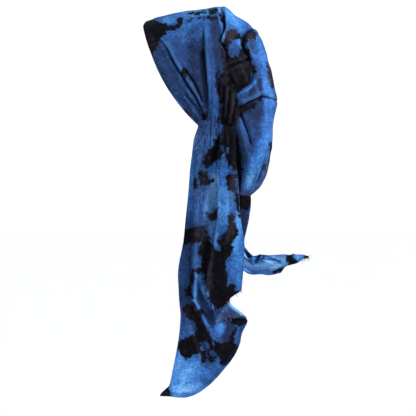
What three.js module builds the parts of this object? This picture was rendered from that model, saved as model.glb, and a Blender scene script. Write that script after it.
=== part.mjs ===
// A pre-tied tichel: a slouchy head wrap of velour with a gathered tie at each side.
// Millimetres. +Z is up, the face side is -Y, the wearer's left is +X.
// The origin is where the top of the head bears on the inside of the crown.
import * as THREE from "three";

// Cloth
const WALL = 2.4; // crown cloth with its pile, doubled at the edges
const TIE_WALL = 2; // tie cloth with its pile
const SEAM_GAP = 1.5; // clearance between the crown and a tie along their seam

// The gather at each side of the head, an eye-shaped seam seen from the side
const GATHER = { x: 78, y: 22.5, z: -212.5, halfLength: 32, halfHeight: 6, tiltDeg: -17 };
const ROUNDNESS = 2.4; // exponent of the crown's cross sections, 2 is an ellipse

// The crown's middle line from the face edge over the top to the nape hem, on the outer face.
// belly: how much wider than the gathers the cloth bulges half way down the side
// bow: how far the cloth's run from gather to middle line bends forward, and bowAt where
// seam: where on the gather's eye that run ends, as an angle
const CROWN_ROWS = [
  { at: "face edge", y: -112, z: -21, belly: -8, bow: 15.5, bowAt: 0.5, seam: 176 },
  { at: "forehead", y: -98, z: -17, belly: -6, bow: 14, bowAt: 0.5, seam: 164 },
  { at: "front", y: -54, z: -5, belly: 0, bow: 8, bowAt: 0.5, seam: 142 },
  { at: "top", y: -4, z: 2.5, belly: 5, bow: 2, bowAt: 0.5, seam: 122 },
  { at: "peak", y: 25, z: 6, belly: 6, bow: 0, bowAt: 0.5, seam: 112 },
  { at: "slope", y: 56, z: -9, belly: 8, bow: 0, bowAt: 0.5, seam: 101 },
  { at: "back corner", y: 89, z: -32, belly: 8, bow: 0, bowAt: 0.5, seam: 91 },
  { at: "upper back", y: 106, z: -66, belly: 9, bow: 0, bowAt: 0.5, seam: 80 },
  { at: "back", y: 118, z: -108, belly: 10, bow: 0, bowAt: 0.5, seam: 69 },
  { at: "bulge", y: 130, z: -158, belly: 9, bow: 0, bowAt: 0.5, seam: 53 },
  { at: "notch", y: 125, z: -190, belly: 8, bow: -2, bowAt: 0.5, seam: 36 },
  { at: "low back", y: 123, z: -234, belly: 7, bow: -5, bowAt: 0.55, seam: 14 },
  { at: "low curve", y: 112, z: -284, belly: 2, bow: -12, bowAt: 0.62, seam: -8 },
  { at: "underside", y: 99, z: -315, belly: -8, bow: -21, bowAt: 0.7, seam: -24 },
  { at: "nape hem", y: 82, z: -332, belly: -14, bow: -32, bowAt: 0.77, seam: -38 },
];

// Folds of the crown, each along a path of [y, z] points seen from the side.
// rise: height at its middle, below zero for a crease
// width: half width of its soft side, edge: half width of its other side
const CROWN_FOLDS = [
  {
    fold: "face tuck", rise: -5, width: 8, edge: 4,
    path: [[-68, -70], [-50, -107], [-33, -138], [-14, -172]],
  },
  {
    fold: "temple roll", rise: 5, width: 11, edge: 6,
    path: [[-74, -50], [-56, -82], [-38, -116], [-22, -146]],
  },
  {
    fold: "second tuck", rise: -4, width: 5, edge: 4,
    path: [[-40, -114], [-26, -140], [-10, -168]],
  },
  {
    fold: "side roll", rise: 5, width: 8, edge: 9,
    path: [[-3, -23], [-1, -61], [6, -113], [11, -152], [10, -187]],
  },
  {
    fold: "side crease", rise: -3, width: 8, edge: 4,
    path: [[-6, -97], [0, -131], [3, -163], [4, -187]],
  },
  {
    fold: "peak lip", rise: 7, width: 24, edge: 3,
    path: [[27, 12], [38, -14], [38, -44], [29, -74]],
  },
  {
    fold: "peak crease", rise: -6, width: 6, edge: 8,
    path: [[26, -72], [29, -97], [30, -131], [26, -172]],
  },
  {
    fold: "corner crease", rise: -8, width: 12, edge: 12,
    path: [[88, -30], [72, -48], [62, -64], [60, -92]],
  },
  {
    fold: "corner roll", rise: 5, width: 12, edge: 10,
    path: [[86, -42], [74, -60], [81, -88], [92, -107]],
  },
  {
    fold: "dark fold", rise: -7, width: 11, edge: 10,
    path: [[38, -120], [58, -107], [84, -97]],
  },
  {
    fold: "dark bulge", rise: 9, width: 15, edge: 15,
    path: [[42, -136], [56, -131], [72, -128]],
  },
  {
    fold: "bulge edge", rise: -5, width: 7, edge: 6,
    path: [[92, -118], [82, -138], [67, -152], [52, -164]],
  },
  {
    fold: "deep crease", rise: -12, width: 13, edge: 14,
    path: [[54, -186], [66, -175], [82, -166], [98, -161], [114, -161], [134, -167]],
  },
  {
    fold: "upper overhang", rise: 4, width: 16, edge: 12,
    path: [[64, -164], [84, -152], [106, -147], [132, -152]],
  },
  {
    fold: "pouch valley", rise: -7, width: 7, edge: 6,
    path: [[60, -191], [70, -217], [76, -240], [76, -268]],
  },
  {
    fold: "pouch roll", rise: 7, width: 20, edge: 7,
    path: [[134, -176], [112, -212], [100, -242], [82, -282], [62, -316]],
  },
  {
    fold: "rear valley", rise: -10, width: 12, edge: 7,
    path: [[130, -192], [118, -225], [102, -262], [90, -294]],
  },
];

// How one side's folds differ from the other's, so the two sides aren't mirror images.
const RIGHT_SIDE = { shiftY: 7, shiftZ: -9, scale: 0.85 };
const SIDES_MEET = 25; // half the width over which one side's folds pass into the other's
const MIDDLE_CALM = 0.5; // share of a fold's height that it loses on the middle line
const CALM_WIDTH = 45; // how far to each side of the middle line that reaches
const SOFTNESS = 1.35; // how much wider than its sides' widths each fold is made
const FOLD_ENDS = { left: 0.25, start: 0.2, finish: 0.15 }; // height left at its ends, and their shares
const EDGE_SHARE = 0.03; // share of the crown at the face edge and at the hem where folds fade
const PLEATS_AT_EDGE = 0.3; // share of a pleat's height that is left on those two edges

// How far each gather's stitches draw the cloth in, and over what share of its run.
const DRAW = { depth: 6, reach: 0.12 };

// Fine pleats that run out from each gather, and between which shares they fade to the nape hem.
const PLEATS_END = [0.6, 0.8];
const PLEATS = [
  { count: 19, height: 2.2, reach: 0.16, phase: 0.4 },
  { count: 9, height: 2.6, reach: 0.42, phase: 1.7 },
];

// The left tie hangs in a flat Z: a rear layer, a middle layer turned over, and a front layer.
// Columns are the lines that run down the cloth. Each row gives their y at one height.
const LEFT_TIE_LINES = [
  "edge", "panel", "roll", "groove", "rib", "under", "turn", "lining", "lap", "dip", "crest", "side",
];
const LEFT_TIE_ROWS = [
  { z: -212, depth: 0.1, x: 74.5, y: [-9, -5, -1, 4, 9, 15, 21, 26, 31, 36, 40, 43] },
  { z: -236, depth: 0.8, x: 90, y: [-17, -11, -5, 1, 9, 20, 42, 35, 26, 33, 43, 52] },
  { z: -271, depth: 1.2, x: 91, y: [-22, -17, -12, -6, 3, 22, 49, 37, 23, 30, 42, 53] },
  { z: -315, depth: 1.35, x: 91, y: [-26, -21, -16, -10, 1, 24, 50, 38, 23, 31, 44, 57] },
  { z: -365, depth: 1.4, x: 88, y: [-32, -24, -17, -10, 1, 24, 54, 39, 22, 32, 46, 60] },
  { z: -414, depth: 1.4, x: 85, y: [-36, -27, -18, -12, -2, 19, 61, 37, 16, 28, 48, 67] },
  { z: -461, depth: 1.35, x: 83, y: [-46, -32, -19, -13, -6, 13, 61, 33, 6, 23, 46, 66] },
  { z: -497, depth: 1.3, x: 81, y: [-45, -32, -18, -12, -3, 13, 55, 31, 1, 18, 42, 65] },
  { z: -546, depth: 1.1, x: 80, y: [-42, -26, -7, -1, 10, 40, 73, 44, 19, 30, 43, 61] },
  { z: -594, depth: 0.8, x: 79, y: [-47, -22, 27, 41, 54, 73, 84, 50, 30, 40, 50, 62] },
  { z: -640, depth: 0.5, x: 78, y: [-54, -18, 44, 58, 68, 80, 90, 60, 45, 52, 60, 68] },
  { z: -692, depth: 0.4, x: 77, y: [-64, -12, 62, 72, 80, 90, 98, 72, 60, 66, 72, 78] },
];
// Where each line stands out from a tie's middle, and the height of its cut end.
const TIE_DEPTHS = [-4, -1, 5, -2.5, 1, -7, -4.6, -1.6, 1.4, 4.4, 8.5, 6];
const LEFT_TIE_ENDS = [-689, -676, -629, -616, -603, -581, -550, -550, -552, -536, -515, -492];

// The left tie's lowest corner is turned forward.
const CORNER = { reach: 0.06, forward: 12, up: 7, out: 3 };

// The right tie: folded as the left one is, and swept backwards at its end.
// half: half of its width, depth: how far its layers stand apart, as a factor
const RIGHT_TIE_ROWS = [
  { at: "seam", x: -77.5, y: 18, z: -214, half: 26, depth: 0.2 },
  { at: "below the ear", x: -92, y: 11, z: -245, half: 28, depth: 0.9 },
  { at: "neck", x: -95, y: 19, z: -284, half: 30, depth: 1.2 },
  { at: "under the pouch", x: -80, y: 42, z: -328, half: 29, depth: 1.2 },
  { at: "behind the neck", x: -66, y: 57, z: -370, half: 24, depth: 1.1 },
  { at: "narrowing", x: -58, y: 60, z: -408, half: 17, depth: 1.1 },
  { at: "twist", x: -52, y: 62, z: -434, half: 12, depth: 1.3 },
  { at: "turn", x: -47, y: 73, z: -453, half: 14, depth: 1.3 },
  { at: "sweep", x: -42, y: 97, z: -459, half: 17, depth: 1.1 },
  { at: "low side", x: -38, y: 124, z: -458, half: 17, depth: 0.9 },
  { at: "rise", x: -34, y: 148, z: -454, half: 15.5, depth: 0.7 },
  { at: "taper", x: -30, y: 168, z: -451, half: 11, depth: 0.6 },
  { at: "tip", x: -26, y: 189, z: -448, half: 5, depth: 0.5 },
];
// Its lines side by side at the seam, then folded over each other, and where each is cut off.
const RIGHT_TIE_FLAT = [-1, -0.8, -0.62, -0.44, -0.26, -0.08, 0.1, 0.28, 0.46, 0.64, 0.82, 1];
const RIGHT_TIE_FOLDED = [-1, -0.82, -0.6, -0.45, -0.2, 0.3, 0.95, 0.5, 0.1, 0.4, 0.72, 1];
const RIGHT_TIE_CUT = [0.85, 0.87, 0.89, 0.91, 0.94, 0.97, 1, 0.99, 0.96, 0.97, 0.99, 1];
const FOLDED_BY = 0.14; // share of the right tie's length over which its folds form

// How finely each solid is divided: across its runs and along them.
const CROWN_STEPS = [64, 22];
const TIE_STEPS = [33, 20];
const CLOSER_AT_GATHERS = 1.5; // exponent that draws the crown's grid towards its gathers
const PROBE = 0.002; // step along a surface that finds which way it faces
const PATH_PROBE = 0.02; // step in a path's rows that finds which way it runs

const DEGREE = Math.PI / 180;

// The value at position t of a smooth curve through evenly spaced values.
function curveThrough(values, t) {
  const last = values.length - 1;
  const i = Math.min(Math.max(Math.floor(t), 0), last - 1);
  const f = t - i;
  const a = values[i];
  const b = values[i + 1];
  const before = i > 0 ? values[i - 1] : 2 * a - b;
  const after = i + 2 <= last ? values[i + 2] : 2 * b - a;
  const slopeA = (b - before) / 2;
  const slopeB = (after - a) / 2;
  const f2 = f * f;
  const f3 = f2 * f;
  const start = 2 * f3 - 3 * f2 + 1;
  const end = 3 * f2 - 2 * f3;
  return start * a + (f3 - 2 * f2 + f) * slopeA + end * b + (f3 - f2) * slopeB;
}

// A function that gives any column of a table at position t.
function tableCurve(rows, names) {
  const columns = Object.fromEntries(names.map((name) => [name, rows.map((row) => row[name])]));
  return (name, t) => curveThrough(columns[name], t);
}

// A function that turns a share of a path's length into a position in its rows.
function evenSteps(points) {
  const lengths = [0];
  for (let i = 1; i < points.length; i += 1) {
    const before = points[i - 1];
    lengths.push(lengths[i - 1] + Math.hypot(...points[i].map((value, k) => value - before[k])));
  }
  const total = lengths[lengths.length - 1];
  return (share) => {
    const wanted = share * total;
    let i = 0;
    while (i < lengths.length - 2 && lengths[i + 1] < wanted) i += 1;
    return i + (wanted - lengths[i]) / (lengths[i + 1] - lengths[i]);
  };
}

const smooth = (from, to, value) => {
  const s = Math.min(Math.max((value - from) / (to - from), 0), 1);
  return s * s * (3 - 2 * s);
};

// A point [y, z] on the gather's eye at an angle.
function gatherPoint(angleDeg) {
  const along = GATHER.halfLength * Math.cos(angleDeg * DEGREE);
  const up = GATHER.halfHeight * Math.sin(angleDeg * DEGREE);
  const tilt = GATHER.tiltDeg * DEGREE;
  return [
    GATHER.y + along * Math.cos(tilt) - up * Math.sin(tilt),
    GATHER.z + along * Math.sin(tilt) + up * Math.cos(tilt),
  ];
}

const crownColumn = tableCurve(CROWN_ROWS, ["y", "z", "belly", "bow", "bowAt", "seam"]);
const crownStep = evenSteps(CROWN_ROWS.map((row) => [row.y, row.z]));

// The smooth crown without its folds. share runs from the face edge to the nape hem,
// across from the right gather at -1 over the middle line to the left gather at 1.
function crownBase(share, across) {
  const t = crownStep(share);
  const turn = (Math.PI / 2) * (1 - (1 - Math.abs(across)) ** CLOSER_AT_GATHERS);
  const out = Math.cos(turn) ** (2 / ROUNDNESS);
  const wide = Math.sin(turn) ** (2 / ROUNDNESS);
  const middle = [crownColumn("y", t), crownColumn("z", t)];
  const gather = gatherPoint(crownColumn("seam", t));
  const run = [middle[0] - gather[0], middle[1] - gather[1]];
  const length = Math.hypot(...run);
  const bowAt = crownColumn("bowAt", t);
  const lean = bowAt / (1 - bowAt);
  const bowShape = (out ** lean * (1 - out)) / (bowAt ** lean * (1 - bowAt));
  const bend = (bowShape * crownColumn("bow", t)) / length;
  const halfWay = 4 * out * (1 - out);
  const x = wide * (GATHER.x + crownColumn("belly", t) * halfWay);
  return new THREE.Vector3(
    Math.sign(across) * x,
    gather[0] + run[0] * out - run[1] * bend,
    gather[1] + run[1] * out + run[0] * bend,
  );
}

// The outward normal of a surface given by a function of two numbers.
function normalOf(pointAt, a, b) {
  const high = (value) => Math.min(value + PROBE, 1);
  const alongA = pointAt(high(a), b).sub(pointAt(Math.max(a - PROBE, 0), b));
  const alongB = pointAt(a, high(b)).sub(pointAt(a, Math.max(b - PROBE, -1)));
  return alongA.cross(alongB).normalize();
}

// How far a point [y, z] lies from a path, which side it is on, and how far along.
function nearestOnPath(path, y, z) {
  let best = { distance: Infinity, along: 0, side: 1 };
  for (let i = 0; i < path.length - 1; i += 1) {
    const [ay, az] = path[i];
    const dy = path[i + 1][0] - ay;
    const dz = path[i + 1][1] - az;
    const share = Math.min(Math.max(((y - ay) * dy + (z - az) * dz) / (dy * dy + dz * dz), 0), 1);
    const distance = Math.hypot(y - ay - dy * share, z - az - dz * share);
    if (distance < best.distance) {
      const side = Math.sign(dy * (z - az) - dz * (y - ay)) || 1;
      best = { distance, along: (i + share) / (path.length - 1), side };
    }
  }
  return best;
}

// The height of all folds at a point of one side of the crown.
function foldHeight(y, z) {
  let height = 0;
  for (const fold of CROWN_FOLDS) {
    const near = nearestOnPath(fold.path, y, z);
    const reach = SOFTNESS * (near.side > 0 ? fold.width : fold.edge);
    const ends = smooth(0, FOLD_ENDS.start, near.along) * smooth(0, FOLD_ENDS.finish, 1 - near.along);
    const full = FOLD_ENDS.left + (1 - FOLD_ENDS.left) * ends;
    height += fold.rise * full * Math.exp(-((near.distance / reach) ** 2));
  }
  return height;
}

// The height of the fine pleats that run out from a gather.
function pleatHeight(share, across) {
  const out = 1 - Math.abs(across);
  return PLEATS.reduce((height, pleat) => {
    const wave = Math.cos(2 * Math.PI * pleat.count * share + pleat.phase);
    return height + pleat.height * wave * Math.exp(-((out / pleat.reach) ** 2));
  }, 0) * (1 - smooth(PLEATS_END[0], PLEATS_END[1], share));
}

// How far the cloth stands out from the smooth crown.
function crownHeight(share, across) {
  const drawnIn = DRAW.depth * Math.exp(-(((1 - Math.abs(across)) / DRAW.reach) ** 2));
  const base = crownBase(share, across);
  const left = smooth(-SIDES_MEET, SIDES_MEET, base.x);
  const mirrored = foldHeight(base.y + RIGHT_SIDE.shiftY, base.z - RIGHT_SIDE.shiftZ);
  const calm = 1 - MIDDLE_CALM * (1 - smooth(0, CALM_WIDTH, Math.abs(base.x)));
  const folds = left * foldHeight(base.y, base.z) + (1 - left) * RIGHT_SIDE.scale * mirrored;
  const edges = smooth(0, EDGE_SHARE, share) * smooth(0, EDGE_SHARE, 1 - share);
  const pleats = pleatHeight(share, across) * (PLEATS_AT_EDGE + (1 - PLEATS_AT_EDGE) * edges);
  return folds * calm * edges + pleats - drawnIn;
}

// A closed wall from a grid of points on its outer face and a matching grid on its inner face.
function wallGeometry(steps, outerAt, innerAt) {
  const [rows, columns] = steps;
  const positions = [];
  const indices = [];
  for (const pointAt of [outerAt, innerAt]) {
    for (let i = 0; i <= rows; i += 1) {
      for (let j = 0; j <= columns; j += 1) {
        positions.push(...pointAt(i / rows, j / columns).toArray());
      }
    }
  }
  const inner = (rows + 1) * (columns + 1);
  const at = (i, j) => i * (columns + 1) + j;
  const quad = (a, b, c, d) => indices.push(a, b, c, a, c, d);
  for (let i = 0; i < rows; i += 1) {
    for (let j = 0; j < columns; j += 1) {
      quad(at(i, j), at(i + 1, j), at(i + 1, j + 1), at(i, j + 1));
      quad(inner + at(i, j), inner + at(i, j + 1), inner + at(i + 1, j + 1), inner + at(i + 1, j));
    }
  }
  for (let i = 0; i < rows; i += 1) {
    quad(at(i, 0), inner + at(i, 0), inner + at(i + 1, 0), at(i + 1, 0));
    quad(at(i + 1, columns), inner + at(i + 1, columns), inner + at(i, columns), at(i, columns));
  }
  for (let j = 0; j < columns; j += 1) {
    quad(at(0, j + 1), inner + at(0, j + 1), inner + at(0, j), at(0, j));
    quad(at(rows, j), inner + at(rows, j), inner + at(rows, j + 1), at(rows, j + 1));
  }
  const geometry = new THREE.BufferGeometry();
  geometry.setAttribute("position", new THREE.Float32BufferAttribute(positions, 3));
  geometry.setIndex(indices);
  geometry.computeVertexNormals();
  return geometry;
}

function crownGeometry() {
  const faceAt = (depth) => (share, column) => {
    const across = 2 * column - 1;
    const normal = normalOf(crownBase, share, across);
    return crownBase(share, across).addScaledVector(normal, crownHeight(share, across) - depth);
  };
  return wallGeometry(CROWN_STEPS, faceAt(0), faceAt(WALL));
}

// A sheet's two faces, half a wall to each side of its middle surface.
function sheetGeometry(steps, middleAt, wall) {
  const faceAt = (offset) => (a, b) =>
    middleAt(a, b).addScaledVector(normalOf(middleAt, a, b), offset);
  return wallGeometry(steps, faceAt(wall / 2), faceAt(-wall / 2));
}

// The height of a tie's top edge at a place along the gather.
function seamHeight(y) {
  const along = (y - GATHER.y) / Math.cos(GATHER.tiltDeg * DEGREE);
  const up = GATHER.halfHeight * Math.sqrt(Math.max(1 - (along / GATHER.halfLength) ** 2, 0));
  return GATHER.z + along * Math.sin(GATHER.tiltDeg * DEGREE) + up - SEAM_GAP;
}

// A height's position in the left tie's rows.
const tieLevel = (z) => {
  const last = LEFT_TIE_ROWS.length - 1;
  let i = 0;
  while (i < last - 1 && LEFT_TIE_ROWS[i + 1].z > z) i += 1;
  return i + (z - LEFT_TIE_ROWS[i].z) / (LEFT_TIE_ROWS[i + 1].z - LEFT_TIE_ROWS[i].z);
};

// The left tie's middle surface: across runs over its lines, down from its seam to its cut end.
function leftTieAt(across, down) {
  const line = across * (LEFT_TIE_LINES.length - 1);
  const end = curveThrough(LEFT_TIE_ENDS, line);
  const top = seamHeight(curveThrough(LEFT_TIE_ROWS[0].y, line));
  const z = top + (end - top) * down;
  const level = tieLevel(z);
  const lineY = curveThrough(LEFT_TIE_ROWS.map((row) => curveThrough(row.y, line)), level);
  const depth = curveThrough(LEFT_TIE_ROWS.map((row) => row.depth), level);
  const middle = curveThrough(LEFT_TIE_ROWS.map((row) => row.x), level);
  const turned = smooth(1 - CORNER.reach, 1, down) * smooth(CORNER.reach, 0, across);
  const point = new THREE.Vector3(middle + depth * curveThrough(TIE_DEPTHS, line), lineY, z);
  return point.addScaledVector(new THREE.Vector3(CORNER.out, -CORNER.forward, CORNER.up), turned);
}

function leftTieGeometry() {
  return sheetGeometry(TIE_STEPS, (across, down) => leftTieAt(across, down), TIE_WALL);
}

const rightTieColumn = tableCurve(RIGHT_TIE_ROWS, ["x", "y", "z", "half", "depth"]);
const rightTieStep = evenSteps(RIGHT_TIE_ROWS.map((row) => [row.x, row.y, row.z]));

// The right tie's middle surface: across runs over its lines, down from its seam to its cut end.
function rightTieAt(across, down) {
  const line = across * (RIGHT_TIE_FLAT.length - 1);
  const placeAt = (share) => {
    const t = rightTieStep(share);
    const centreAt = (row) =>
      new THREE.Vector3(rightTieColumn("x", row), rightTieColumn("y", row), rightTieColumn("z", row));
    const ahead = centreAt(t + PATH_PROBE).sub(centreAt(t - PATH_PROBE));
    const length = Math.hypot(ahead.y, ahead.z);
    const folded = smooth(0, FOLDED_BY, share);
    const flat = curveThrough(RIGHT_TIE_FLAT, line);
    const side = flat + (curveThrough(RIGHT_TIE_FOLDED, line) - flat) * folded;
    const open = rightTieColumn("half", t) * side;
    const depth = rightTieColumn("depth", t) * curveThrough(TIE_DEPTHS, line);
    const offset = new THREE.Vector3(-depth, (-ahead.z / length) * open, (ahead.y / length) * open);
    return centreAt(t).add(offset);
  };
  const top = placeAt(0);
  const point = placeAt(down * curveThrough(RIGHT_TIE_CUT, line));
  point.z += (seamHeight(top.y) - top.z) * (1 - smooth(0, FOLDED_BY, down));
  return point;
}

function rightTieGeometry() {
  return sheetGeometry(TIE_STEPS, (across, down) => rightTieAt(1 - across, down), TIE_WALL);
}

function clothMaterial(colour) {
  return new THREE.MeshStandardMaterial({ color: colour, roughness: 0.9, metalness: 0 });
}

function piece(name, geometry, colour) {
  const mesh = new THREE.Mesh(geometry, clothMaterial(colour));
  mesh.name = name;
  return mesh;
}

const tichel = new THREE.Group();
tichel.add(
  piece("crown", crownGeometry(), 0x234f96),
  piece("tail_left", leftTieGeometry(), 0x2c5fa8),
  piece("tail_right", rightTieGeometry(), 0x1f4fa0),
);

export default tichel;
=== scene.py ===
import math

import bpy
import numpy as np
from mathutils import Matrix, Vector, noise


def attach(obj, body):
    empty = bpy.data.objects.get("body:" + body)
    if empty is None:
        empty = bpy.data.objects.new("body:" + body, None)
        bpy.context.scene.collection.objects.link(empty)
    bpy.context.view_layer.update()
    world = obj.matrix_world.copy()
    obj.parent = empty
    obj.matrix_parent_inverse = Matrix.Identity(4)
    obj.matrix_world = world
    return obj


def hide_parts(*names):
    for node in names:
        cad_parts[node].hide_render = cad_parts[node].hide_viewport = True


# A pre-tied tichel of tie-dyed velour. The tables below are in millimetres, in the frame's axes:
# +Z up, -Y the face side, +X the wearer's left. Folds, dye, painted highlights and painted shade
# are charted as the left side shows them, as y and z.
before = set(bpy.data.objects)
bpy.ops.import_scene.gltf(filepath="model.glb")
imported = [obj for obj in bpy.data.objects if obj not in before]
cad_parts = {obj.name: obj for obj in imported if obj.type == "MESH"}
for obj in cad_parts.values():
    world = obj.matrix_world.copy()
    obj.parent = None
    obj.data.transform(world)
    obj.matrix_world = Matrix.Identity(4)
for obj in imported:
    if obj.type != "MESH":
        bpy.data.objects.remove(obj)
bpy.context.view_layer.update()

MM = 0.001

# Cloth walls, the thicker hem at the face, the rows of stitches along a tie's hem, the distance
# stored where there is no hem, and the one from which an end is frayed
WALL, TIE_WALL = 2.4, 2.0
HEM_EXTRA, HEM_REACH = 0.9, (0.012, 0.022)
HEM_STITCHES, STITCH_WIDTH = (3.6, 6.4), (0.3, 0.9)
NO_HEM, FRAYED_FROM = 30.0, 20.0

# The gap at a tie's seam, and how far, how wide and up to where the crown's edge is tucked down
# behind the tie's top
SEAM_GAP = 1.5
TUCK_DOWN, TUCK_REACH, TUCK_END = 5.0, 0.04, (0.78, 0.9)

# Grid steps of the fine meshes, the angles that round a wall's edge, and the rounds of averaging
# that tell a crease from the cloth around it
CROWN_STEPS = (310, 240)
TIE_STEPS = (160, 280)
EDGE_TURNS = (45, 90, 135)
CREASE_ROUNDS = 12

# The gather at each side, eye-shaped when seen from there, and how the crown rounds and its lines
# crowd towards it
GATHER_X, GATHER_Y, GATHER_Z = 78.0, 21.5, -212.5
GATHER_HALF_LENGTH, GATHER_HALF_HEIGHT = 33.5, 6.0
GATHER_TILT = math.radians(-17)
ROUNDNESS, CROWDING = 2.4, 1.5

# The crown's middle line from the face edge to the nape hem, and the run of cloth beside it: y, z,
# how much wider than the gathers it bulges, how far it bends forward and where, and the angle on
# the gather's eye where it ends
CROWN_ROWS = np.array([
    (-111, -27, -8, 16, 0.5, 177),
    (-106.5, -20, -7, 15.5, 0.5, 171),
    (-98, -17, -6, 14, 0.5, 164),
    (-54, -5, 0, 8, 0.5, 142),
    (-4, 2.5, 5, 2, 0.5, 122),
    (25, 5, 6, 0, 0.5, 112),
    (55, -10.5, 8, 0, 0.5, 101),
    (87.5, -33, 8, 0, 0.5, 91),
    (106, -66, 9, 0, 0.5, 80),
    (118, -108, 10, 0, 0.5, 69),
    (129, -158, 9, 0, 0.5, 53),
    (123.5, -190, 8, -2, 0.5, 36),
    (121, -234, 7, -5, 0.55, 14),
    (113.5, -284, 2, -12, 0.62, -8),
    (101, -315, -8, -21, 0.7, -24),
    (83, -332, -14, -32, 0.77, -38),
], float)

# Folds of the crown: height at the middle, below zero for a crease; half width on the side to
# the left of the path's way, and on its right; how far the crest leans to the right; the
# path, as y, z, y, z and so on
CROWN_FOLDS = (
    # along the face, down to the gather
    (-4, 3, 2.5, 0, (-40, -150, -30, -162, -21, -173, -12, -186, -6, -195)),
    (-6, 2, 3, 0, (-77, -59, -67, -71, -58, -90, -48, -108, -41, -121, -33, -135, -24, -149, -15, -163,
     -8, -178, -4, -192)),
    (4, 9, 2.4, 1.5, (-74, -58, -64, -71, -55, -88, -46, -105, -38, -118)),
    (2.2, 3, 2, 1, (-36, -121, -27, -136, -18, -150, -9, -166, -4, -180)),
    (-5, 3, 3, 0, (-38, -107, -30, -119, -21, -132, -14, -145, -8, -160, -3, -176)),
    # down the side
    (-6, 3, 10, 0, (-4, -70, -2, -92, 1, -120, 4, -150, 4, -186)),
    (5.5, 10, 3.2, 1.5, (0, -30, 3, -56, 5, -78, 7, -104, 10, -132, 12, -160, 12, -192)),
    (-5, 4, 4, 0, (22, -108, 20, -130, 24, -150, 25, -172, 20, -194)),
    # the peak and the corner behind it
    (8, 20, 2.4, 4, (26, 14, 34, -4, 38, -20, 40, -38, 36, -52, 29, -67)),
    (-7, 5, 3, 0, (28, -64, 34, -73, 38, -84, 38, -102)),
    (-12, 4, 10, 0, (92, -28, 82, -38, 72, -50, 68, -62, 71, -74, 79, -92)),
    (6, 10, 3, 3, (85, -39, 77, -53, 76, -66, 81, -80, 87, -98)),
    (1.5, 8, 9, 0, (93, -38, 98, -58, 101, -82, 102, -104)),
    # the bulge at the back
    (-8, 3, 4, 0, (34, -112, 46, -108, 60, -101, 72, -95, 82, -92)),
    (9, 12, 13, 0, (46, -130, 58, -124, 72, -118)),
    (-7, 4, 5, 0, (84, -104, 86, -120, 82, -132, 72, -141, 60, -148, 50, -158)),
    (2, 3, 3, 0, (91, -110, 91, -124, 86, -136, 76, -146, 64, -154)),
    # creases and pleats into the gather
    (-4.5, 2.4, 2.4, 0, (32, -134, 33, -165, 31, -203)),
    (3.5, 3, 3, 0, (37, -142, 37, -170, 34, -205)),
    (-4.5, 2.4, 2.4, 0, (43, -146, 41, -176, 37, -206)),
    (3.5, 3, 3, 0, (49, -152, 46, -178, 41, -206)),
    (-5, 2.6, 2.6, 0, (56, -160, 51, -184, 45, -208)),
    # between the back and the pouch
    (-15, 3.5, 10, 0, (54, -184, 64, -175, 74, -169, 84, -164, 94, -160, 104, -158)),
    (-3.5, 2, 2.5, 0, (92, -159, 104, -159, 114, -160, 124, -162, 133, -166)),
    (4.5, 9, 3, 4, (60, -174, 74, -165, 86, -160, 98, -154)),
    # the pouch
    (-7, 3, 3, 0, (60, -186, 68, -206, 76, -228, 80, -246)),
    (4, 6, 5, 0, (58, -206, 66, -236, 72, -262, 76, -290)),
    (-7, 6, 8, 0, (46, -212, 53, -238, 60, -268, 62, -312)),
    (9, 3, 20, -2, (113, -214, 106, -240, 99, -264, 92, -288, 84, -318)),
    (-9, 6, 3, 0, (117, -222, 110, -244, 103, -268, 96, -292, 89, -316)),
    (5, 4, 3, 0, (120, -236, 114, -256, 106, -280, 98, -304)),
    (3, 4, 4, 0, (60, -330, 72, -329, 84, -321, 96, -307)),
)

# Shares of a path that its ends take up, what is left of the fold there, how many half widths it
# reaches, and how sharp creases and rolls are
FOLD_ENDS, FOLD_LEFT, FOLD_REACH = (0.2, 0.15), 0.25, 3
CREASE_SHARPNESS, ROLL_SHARPNESS = 1.35, 2.0

# How the right side's folds differ from the left side's, and where they meet; how folds fade on the
# middle line; how they lean and stand out sideways away from it
RIGHT_SHIFT, RIGHT_SCALE, SIDES_MEET = (7, -9), 0.85, 25
MIDDLE_CALM, CALM_WIDTH = 0.5, 45
LEAN_FROM, SIDEWAYS, SIDEWAYS_FROM = (20, 55), 0.9, (10, 50)

# Shares of the cloth at the face, the nape and the gathers over which folds and wrinkles set in
FOLDS_FADE = (0.03, 0.03, 0.13)
WRINKLES_FADE = (0.08, 0.04, 0.1)

# Pleats that run out from each gather: count, height, reach as a share of the run, phase; how
# unevenly they lie and rise; how far the cloth is drawn in
PLEATS = ((27, 0.8, 0.13, 2.1), (17, 1.5, 0.16, 0.4), (8, 1.8, 0.36, 1.7))
PLEATS_END = (0.6, 0.8)
PLEAT_DRIFT, PLEAT_VARIETY = 0.014, 0.9
DRAW_DEPTH, DRAW_REACH = 4.0, 0.12

# Wrinkles of the crown: long runs, swells, dimples, and creases that are deeper where the cloth
# is rumpled, each with its turns along and across the cloth, or its size
RUN_RISE, RUN_TURNS = 1.3, (26, 2.4)
SWELL_RISE, SWELL_SIZE = 2.2, 46
DIMPLE_RISE, DIMPLE_SIZE = 0.9, 19
CREASED_RISE, RUMPLED_RISE, CREASED_SIZE = 0.3, 0.9, 34
RUMPLED_Y, RUMPLED_Z = (24, 60), (-150, -190)

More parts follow.
